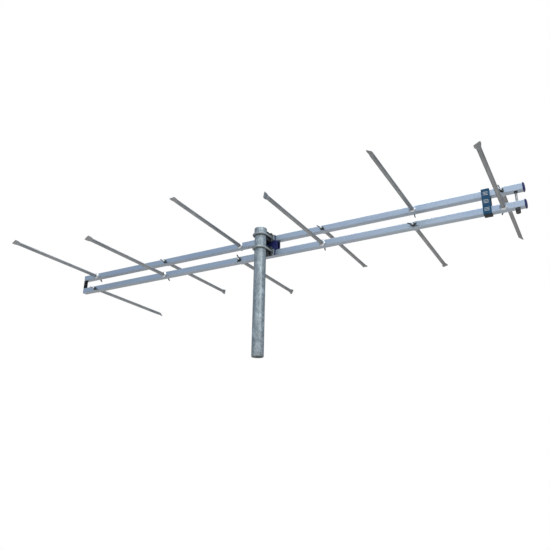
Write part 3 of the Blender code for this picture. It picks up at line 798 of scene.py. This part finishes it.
def make_dipoles():
    """All half-elements. Each stud comes out on the other side of its boom, at its wing nut."""
    stud, seat, nut = stud_mesh(), seat_mesh(), wing_nut_mesh()
    for number in STATIONS:
        for side, other in (("near", "far"), ("far", "near")):
            make_half_element(number, side, stud, seat)
            make_wing_nut(number, other, middle(f"root_seat_{number}_{side}").z, nut)


# ---------------------------------------------------------------- mast and its clamp

def make_mast():
    """The galvanised pipe, open at its foot, and the cap over its top."""
    low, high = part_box("mast")
    bore = MAST_RADIUS - MAST_WALL
    profile = filleted([(MAST_RADIUS, low.z), (MAST_RADIUS, high.z), (bore, high.z), (bore, low.z)],
                       0.0006, 3)
    pipe = lathe("mast_pipe", profile, AROUND_MAST, loop=True)
    add("mast_pipe", pipe, "galvanised_steel", "mast", body="mast")
    low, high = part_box("mast_cap")
    outside = (high.x - low.x) / 2
    skirt = MAST_RADIUS + GAP
    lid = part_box("mast")[1].z + GAP
    shape = [(AXIS_GAP, high.z), (outside, high.z), (outside, low.z), (skirt, low.z), (skirt, lid),
             (AXIS_GAP, lid)]
    profile = filleted(shape, 0.0012, 5, closed=False)
    add("mast_top_cap", lathe("mast_top_cap", profile, AROUND_MAST), "galvanised_steel", "mast_cap",
        body="mast")


def ubolt_mesh(name):
    """Threaded leg, half turn round the mast on its near side, threaded leg."""
    thread = thread_rings(UBOLT_ROD, 0.0006, UBOLT_THREAD, UBOLT_PITCH, AROUND_ROD)
    thread = [ring(UBOLT_ROD - 0.0009, 0.0, AROUND_ROD)] + thread
    rings = [[(-UBOLT_BEND + x, UBOLT_END_Y - z, y) for x, y, z in points] for points in thread]
    bends = 40
    for k in range(bends + 1):
        turn = math.pi + math.pi * k / bends
        out = Vector((math.cos(turn), math.sin(turn), 0))
        rings.append([tuple(out * (UBOLT_BEND - x) + Vector((0, 0, y)))
                      for x, y, _ in ring(UBOLT_ROD, 0, AROUND_ROD)])
    rings += [[(UBOLT_BEND - x, UBOLT_END_Y - z, y) for x, y, z in points]
              for points in reversed(thread)]
    return skin(name, rings)


def jaw_outline(high):
    """The clamp saddle's section: a toothed V that grips the mast, and a wing each side."""
    half = JAW_HALF_MOUTH
    slope = math.tan(JAW_HALF_ANGLE)
    apex = (MAST_RADIUS + GAP) / math.sin(JAW_HALF_ANGLE)
    tip = Vector((half, apex - half / slope))
    root = Vector((0.0, apex))
    along = (root - tip).normalized()
    into = Vector((along.y, -along.x))
    start = tip + along * 0.003
    pitch = (root - start).length * 0.92 / JAW_TEETH
    flank = [tip]
    for k in range(JAW_TEETH):
        flank.append(start + along * pitch * k)
        flank.append(start + along * pitch * (k + 0.5) + into * JAW_TOOTH_DEPTH)
    flank.append(start + along * pitch * JAW_TEETH)
    shoulder = high.y - JAW_WING_THICKNESS
    bevel = 0.002
    side = [(half, shoulder), (high.x - bevel, shoulder), (high.x, shoulder + bevel),
            (high.x, high.y)]
    right = side[::-1] + [tuple(point) for point in flank]
    left = [(-x, y) for x, y in reversed(right)]
    return right + [(0.0, apex + 0.0004)] + left


def make_jaw(level):
    """One saddle with its leg holes; the upper one is relieved round the mast's cap."""
    low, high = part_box(f"mast_jaw_{level}")
    z = middle(f"u_bolt_{level}").z
    jaw = slab("jaw", jaw_outline(high), high.z - low.z, 0.0009)
    jaw.transform(Matrix.Translation((0, 0, (low.z + high.z) / 2)))
    cuts = [cylinder(LEG_HOLE, (x, high.y - 2 * JAW_WING_THICKNESS, z), (x, high.y + 0.001, z))
            for x in (-UBOLT_BEND, UBOLT_BEND)]
    if level == "upper":
        cap_low, cap_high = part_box("mast_cap")
        clear = 0.0008
        cuts.append(cylinder((cap_high.x - cap_low.x) / 2 + clear, (0, 0, cap_low.z - clear),
                             (0, 0, cap_high.z), AROUND_MAST))
    add(f"{level}_jaw", carved("jaw", jaw, cut=[together("cuts", cuts)]), "black_iron",
        f"mast_jaw_{level}")


def make_clamp_level(level):
    """Everything that belongs to one U-bolt."""
    z = middle(f"u_bolt_{level}").z
    add(f"{level}_u_bolt", ubolt_mesh("u_bolt"), "galvanised_steel", f"u_bolt_{level}",
        Matrix.Translation((0, 0, z)))
    make_jaw(level)

    low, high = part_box(f"clamp_plate_{level}")
    plate = block("plate", low, high, 0.003, 0.0007, "Y")
    holes = [cylinder(LEG_HOLE, (x, low.y - 0.01, z), (x, high.y + 0.01, z))
             for x in (-UBOLT_BEND, UBOLT_BEND)]
    add(f"{level}_plate", carved("plate", plate, cut=[together("holes", holes)]),
        "galvanised_steel", f"clamp_plate_{level}")
    for hand, x in (("left", -UBOLT_BEND), ("right", UBOLT_BEND)):
        node = f"u_bolt_nut_{level}_{hand}"
        nut = hex_nut("hex_nut", HEX_FLATS, span(node).y, UBOLT_ROD + 0.00035)
        add(f"{level}_hex_nut_{hand}", nut, "bright_zinc", node,
            Matrix.Translation(middle(node)) @ TURN_TO_PLUS_Y)


def make_insulating_block():
    """Moulded core between the booms, hollowed at both ends, and a flange in front of them."""
    low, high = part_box("insulating_block")
    face = BOOM_Y - HALF_SIDE - GAP
    core_half = (UPPER_Z - LOWER_Z) / 2 - HALF_SIDE - GAP
    flange_half = span("clamp_plate_upper").x / 2 + 0.0020
    core = block("core", (low.x, face - 0.002, MID_Z - core_half),
                 (high.x, high.y, MID_Z + core_half), 0.0016, 0.0009, "X")
    flange = block("flange", (-flange_half, low.y, low.z), (flange_half, face, high.z),
                   0.0025, 0.0008, "Y")
    wall = 0.0038
    pockets = []
    for sign in (-1, 1):
        inner, outer = sorted((sign * (high.x - 0.012), sign * (high.x + 0.01)))
        pockets.append(block("pocket", (inner, face + wall, MID_Z - core_half + wall),
                             (outer, high.y - wall, MID_Z + core_half - wall), 0.0016, 0.0006, "X"))
    holes = [cylinder(LEG_HOLE, (x, low.y - 0.01, middle(f"u_bolt_{level}").z),
                      (x, face + 0.004, middle(f"u_bolt_{level}").z))
             for x in (-UBOLT_BEND, UBOLT_BEND) for level in ("upper", "lower")]
    mesh = carved("insulating_block", flange, joined=[core],
                  cut=[together("pockets", pockets), together("holes", holes)])
    add("insulator_block", mesh, "navy_plastic", "insulating_block")


# ---------------------------------------------------------------- boom ends and front clamp

def make_end_cap(level):
    """Square cap, its outer face domed, on a plug with a lead-in."""
    low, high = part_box(f"end_cap_{level}")
    side = high.z - low.z
    start = FRONT_X + GAP
    rim = high.x - start
    plug = 2 * (HALF_SIDE - BOOM_WALL - GAP)
    levels = [(plug - 0.0022, low.x, 0.0012), (plug, low.x + 0.0030, 0.0016), (plug, start, 0.0016),
              (side - 0.0006, start, 0.0028), (side, start + 0.0005, 0.0030),
              (side, start + 0.35 * rim, 0.0030)]
    dome = 9
    for k in range(1, dome + 1):
        t = math.pi / 2 * k / dome
        levels.append((side - 0.0110 * (1 - math.cos(t)), start + rim * (0.35 + 0.60 * math.sin(t)),
                       0.0030 + 0.0024 * math.sin(t)))
    levels.append((0.40 * side, high.x, 0.0050))
    rings = []
    for width, x, corner in levels:
        outline = filleted(rectangle(width, width), corner, 6)
        rings.append([(x, BOOM_Y + u, (low.z + high.z) / 2 + v) for u, v in outline])
    add(f"{level}_end_cap", skin("end_cap", rings), "navy_plastic", f"end_cap_{level}")


def make_spacer(name, node, slot, wall):
    """A moulded block between the booms, cored out from both of its ends."""
    low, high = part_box(node)
    body = block(name, low, high, 0.0018, 0.0009, "X")
    pockets = []
    for outer, inner in ((low.x - 0.01, low.x + 0.0035), (high.x + 0.01, high.x - 0.0035)):
        a, b = sorted((outer, inner))
        pockets.append(block("pocket", (a, low.y + wall, low.z + wall),
                             (b, high.y - wall, high.z - wall), 0.0020, 0.0006, "X"))
    add(name, carved(name, body, cut=[together("pockets", pockets)]), slot, node)


def make_front_clamp():
    """Cover over the near faces and the top, and a strap round the bottom and back."""
    low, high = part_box("front_clamp_cover")
    width = high.x - low.x
    thick = HALF_SIDE + GAP
    inside = (UPPER_Z - LOWER_Z) / 2 + HALF_SIDE + GAP
    near, far, reach = low.y - BOOM_Y, high.y - BOOM_Y, (high.z - low.z) / 2
    place = Matrix.Translation(((low.x + high.x) / 2, BOOM_Y, MID_Z)) @ DRAWN_IN_YZ
    shape = [(-thick, GAP - inside), (-thick, inside), (far, inside), (far, reach), (near, reach),
             (near, -reach), (-thick, -reach)]
    cover = slab("cover", filleted(shape, 0.0014, 5), width, 0.0010)
    cover.transform(place)
    cover = carved("cover", cover, cut=[grip_bars(low, high, 0.0, 0.0009)])
    add("clamp_cover", cover, "blue_plastic", "front_clamp_cover")
    add("clamp_grips", grip_bars(low, high, 0.00015, 0.00085), "white_plastic")

    shape = [(GAP - thick, -reach), (far, -reach), (far, inside - GAP), (thick, inside - GAP),
             (thick, -inside), (GAP - thick, -inside)]
    strap = slab("strap", filleted(shape, 0.0012, 4), width, 0.0009)
    strap.transform(place)
    add("clamp_strap", strap, "black_plastic", "front_clamp_strap")


def grip_bars(low, high, shrink, depth):
    """Plain grip bars let into the cover's near face, in three panels of three."""
    centre_x = (low.x + high.x) / 2
    half_width = GRIP_HALF_WIDTH * (high.x - low.x) - shrink
    half_height = GRIP_HALF_HEIGHT - shrink
    front = low.y + (0.0003 if shrink else -0.004)
    bars = []
    for panel in (-1, 0, 1):
        for bar in (-1, 0, 1):
            z = MID_Z + panel * GRIP_PANEL_PITCH + bar * GRIP_BAR_PITCH
            bars.append(block("bar", (centre_x - half_width, front, z - half_height),
                              (centre_x + half_width, low.y + depth, z + half_height),
                              0.0009, 0.0002, "Y"))
    return together("bars", bars)


# ---------------------------------------------------------------- feed

def make_feed_rod(place):
    """Contact pin in the connector, threaded rod up to the upper boom, and its nut there."""
    above = UPPER_Z - HALF_SIDE
    low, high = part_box("feed_rod")
    sleeve = LOWER_Z + HALF_SIDE - 0.004
    thread_start = above - 0.0085
    rings = [ring(CONTACT_RADIUS - 0.0005, low.z, AROUND_ROD),
             ring(CONTACT_RADIUS, low.z + 0.0006, AROUND_ROD),
             ring(CONTACT_RADIUS, sleeve, AROUND_ROD), ring(FEED_ROD_RADIUS, sleeve, AROUND_ROD)]
    rings += thread_rings(FEED_ROD_RADIUS, thread_start, high.z - 0.0005, FEED_ROD_PITCH,
                          AROUND_ROD)
    rings.append(ring(FEED_ROD_RADIUS - 0.0005, high.z, AROUND_ROD))
    add("feed_link", skin("feed_rod", rings), "weathered_aluminium", "feed_rod", place)

    nut = hex_nut("feed_nut", FEED_NUT_FLATS, FEED_NUT_HEIGHT, FEED_ROD_RADIUS + 0.0001)
    nut_z = above - GAP - FEED_NUT_HEIGHT / 2
    add("feed_nut", nut, "dark_metal", matrix=Matrix.Translation((FEED_X, BOOM_Y, nut_z)))


def make_connector(place):
    """Coaxial socket under the lower boom: knurled top, threaded barrel, insulator inside."""
    sides = AROUND_CONNECTOR
    low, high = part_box("connector_body")
    radius = (high.x - low.x) / 2
    shelf = LOWER_Z - HALF_SIDE - SHELF_DROP
    ridge = [1.0, 0.985, 0.955, 0.985] * (sides // 4)
    knurl = [ring(radius - 0.0008, high.z, sides)]
    for z in (high.z - 0.0006, high.z - KNURL_HEIGHT):
        knurl.append([(x * k, y * k, z) for (x, y, z), k in zip(ring(radius, z, sides), ridge)])
    knurl.append(ring(radius - 0.0009, high.z - KNURL_HEIGHT - 0.0006, sides))
    barrel = thread_rings(radius - 0.0001, low.z + 0.0010, high.z - 0.0060, CONNECTOR_PITCH, sides)
    mouth = [ring(radius - 0.0009, low.z, sides), ring(SOCKET_RADIUS + 0.0005, low.z, sides),
             ring(SOCKET_RADIUS, low.z + 0.0005, sides), ring(SOCKET_RADIUS, shelf, sides),
             ring(CONNECTOR_BORE, shelf, sides), ring(CONNECTOR_BORE, high.z, sides)]
    add("coax_body", skin("coax_body", knurl + barrel[::-1] + mouth, loop=True), "dark_metal",
        "connector_body", place)

    low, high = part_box("connector_insulator")
    lip = (high.x - low.x) / 2
    hole = CONTACT_RADIUS + GAP
    profile = filleted([(lip, high.z), (lip, low.z), (hole, low.z), (hole, high.z)], 0.0005, 3)
    add("coax_insulator", lathe("coax_insulator", profile, 64, loop=True), "white_plastic",
        "connector_insulator", place)


make_boom("upper", UPPER_Z, (-1,))
make_boom("lower", LOWER_Z, (-1, 1))
make_dipoles()
make_mast()
make_clamp_level("upper")
make_clamp_level("lower")
make_insulating_block()
make_end_cap("upper")
make_end_cap("lower")
make_spacer("end_spacer", "rear_spacer", "black_plastic", 0.0030)
make_spacer("clamp_spacer", "front_spacer", "blue_plastic", 0.0036)
make_front_clamp()
FEED_PLACE = Matrix.Translation((FEED_X, BOOM_Y, 0))
make_feed_rod(FEED_PLACE)
make_connector(FEED_PLACE)


# ---------------------------------------------------------------- floor, light and camera

FLOOR_Z = -1.15
FLOOR_RADIUS = 6.0
FLOOR_COLOUR = (0.74, 0.70, 0.65, 1.0)
FLOOR_FADE = (0.45, 0.97)       # shares of the radius between which the floor fades out
DOME_BRIGHT_SIDE = Vector((0.45, -0.80, 0.40))
DOME_COLOURS = ((0.25, (0.26, 0.31, 0.35)), (0.58, (0.40, 0.50, 0.65)), (0.80, (0.50, 0.61, 0.75)),
                (0.93, (0.70, 0.83, 0.99)), (1.0, (0.86, 0.97, 1.06)))
BELOW_COLOUR = (0.50, 0.46, 0.41)
HORIZON_BLEND = 0.08            # height over which the dome turns into the colour below it
CAMERA_PLACE = Vector((1.16425, -1.91181, -0.49387))
CAMERA_AZIMUTH = math.radians(27.829)
CAMERA_PITCH = math.radians(20.135)
CAMERA_ROLL = math.radians(0.2965)
CAMERA_LENS = 38.82
CAMERA_SHIFT = (-0.0340, 0.0041)


def make_floor():
    """A pale round floor that fades out into the white beyond it."""
    mesh = bpy.data.meshes.new("floor")
    bm = bmesh.new()
    bmesh.ops.create_circle(bm, cap_ends=True, segments=96, radius=FLOOR_RADIUS)
    bmesh.ops.translate(bm, vec=(0, 0, FLOOR_Z), verts=bm.verts)
    bm.to_mesh(mesh)
    bm.free()
    floor = bpy.data.objects.new("floor", mesh)
    bpy.context.scene.collection.objects.link(floor)
    paint = Finish("floor_paint", 0.0, Roughness=0.9, Specular_IOR_Level=0.1)
    paint.shader.inputs["Base Color"].default_value = FLOOR_COLOUR
    rim = paint.node("ShaderNodeVectorMath", operation="LENGTH")
    paint.link(paint.stretched((1 / FLOOR_RADIUS, 1 / FLOOR_RADIUS, 0)), rim.inputs[0])
    fade = paint.ramp(rim.outputs["Value"], (FLOOR_FADE[0], 1.0), (FLOOR_FADE[1], 0.0))
    paint.link(fade, paint.shader.inputs["Alpha"])
    mesh.materials.append(paint.material)


def make_light(name, place, target, size, power, colour):
    """A square soft box that points at the target, and that the camera doesn't see."""
    data = bpy.data.lights.new(name, "AREA")
    data.shape = "SQUARE"
    data.size = size
    data.energy = power
    data.color = colour
    light = bpy.data.objects.new(name, data)
    bpy.context.scene.collection.objects.link(light)
    light.location = place
    light.visible_camera = False
    light.rotation_euler = (Vector(target) - Vector(place)).to_track_quat("-Z", "Y").to_euler()


def dome_colour(tree, direction):
    """The dome's colour by how near a direction is to the bright side."""
    towards = new_node(tree, "ShaderNodeVectorMath", operation="DOT_PRODUCT")
    towards.inputs[1].default_value = DOME_BRIGHT_SIDE.normalized()
    tree.links.new(direction, towards.inputs[0])
    share = new_node(tree, "ShaderNodeMapRange")
    share.inputs["From Min"].default_value = -1.0
    tree.links.new(towards.outputs["Value"], share.inputs["Value"])
    dome = new_node(tree, "ShaderNodeValToRGB")
    set_stops(dome, DOME_COLOURS)
    tree.links.new(share.outputs["Result"], dome.inputs["Fac"])
    return dome.outputs["Color"]


def room_colour(tree):
    """The dome above the horizon, and one warm colour below it."""
    direction = new_node(tree, "ShaderNodeTexCoord").outputs["Generated"]
    parts = new_node(tree, "ShaderNodeSeparateXYZ")
    tree.links.new(direction, parts.inputs[0])
    above = new_node(tree, "ShaderNodeMapRange")
    above.inputs["From Min"].default_value = -HORIZON_BLEND
    above.inputs["From Max"].default_value = HORIZON_BLEND
    tree.links.new(parts.outputs["Z"], above.inputs["Value"])
    room = new_node(tree, "ShaderNodeMix", data_type="RGBA")
    room.inputs[6].default_value = (*BELOW_COLOUR, 1.0)
    tree.links.new(above.outputs["Result"], room.inputs[0])
    tree.links.new(dome_colour(tree, direction), room.inputs[7])
    return room.outputs[2]


def make_world():
    """White behind the object for the camera; a soft dome, brightest on one side, lights it."""
    world = bpy.data.worlds.new("studio")
    bpy.context.scene.world = world
    world.use_nodes = True
    tree = world.node_tree
    tree.nodes.clear()
    seen = new_node(tree, "ShaderNodeBackground")
    seen.inputs["Color"].default_value = (1.0, 1.0, 1.0, 1.0)
    lit = new_node(tree, "ShaderNodeBackground")
    tree.links.new(room_colour(tree), lit.inputs["Color"])
    mix = new_node(tree, "ShaderNodeMixShader")
    is_camera = new_node(tree, "ShaderNodeLightPath").outputs["Is Camera Ray"]
    tree.links.new(is_camera, mix.inputs[0])
    tree.links.new(lit.outputs[0], mix.inputs[1])
    tree.links.new(seen.outputs[0], mix.inputs[2])
    output = new_node(tree, "ShaderNodeOutputWorld")
    tree.links.new(mix.outputs[0], output.inputs["Surface"])


def make_camera():
    """Low in front on the feed side, looking up, with a slight roll."""
    data = bpy.data.cameras.new("camera")
    data.lens = CAMERA_LENS
    data.shift_x, data.shift_y = CAMERA_SHIFT
    data.clip_start = 0.05
    data.clip_end = 200.0
    camera = bpy.data.objects.new("camera", data)
    bpy.context.scene.collection.objects.link(camera)
    ahead = Vector((-math.sin(CAMERA_AZIMUTH) * math.cos(CAMERA_PITCH),
                    math.cos(CAMERA_AZIMUTH) * math.cos(CAMERA_PITCH), math.sin(CAMERA_PITCH)))
    level = Vector((math.cos(CAMERA_AZIMUTH), math.sin(CAMERA_AZIMUTH), 0))
    right = level * math.cos(CAMERA_ROLL) + level.cross(ahead) * math.sin(CAMERA_ROLL)
    axes = Matrix((right, right.cross(ahead), -ahead)).transposed().to_4x4()
    camera.matrix_world = Matrix.Translation(CAMERA_PLACE) @ axes
    bpy.context.scene.camera = camera


make_floor()
make_world()
make_light("key", (0.2, -1.7, 4.4), (0, 0, 0.45), 2.6, 70, (1.0, 0.97, 0.93))
make_light("top", (0.0, 0.4, 3.6), (0, 0, 0), 4.0, 60, (1.0, 0.95, 0.88))
make_light("side", (3.3, -1.8, 1.6), (0, 0, 0.25), 2.5, 20, (0.97, 0.99, 1.0))
make_camera()
bpy.context.scene.view_settings.view_transform = "Standard"
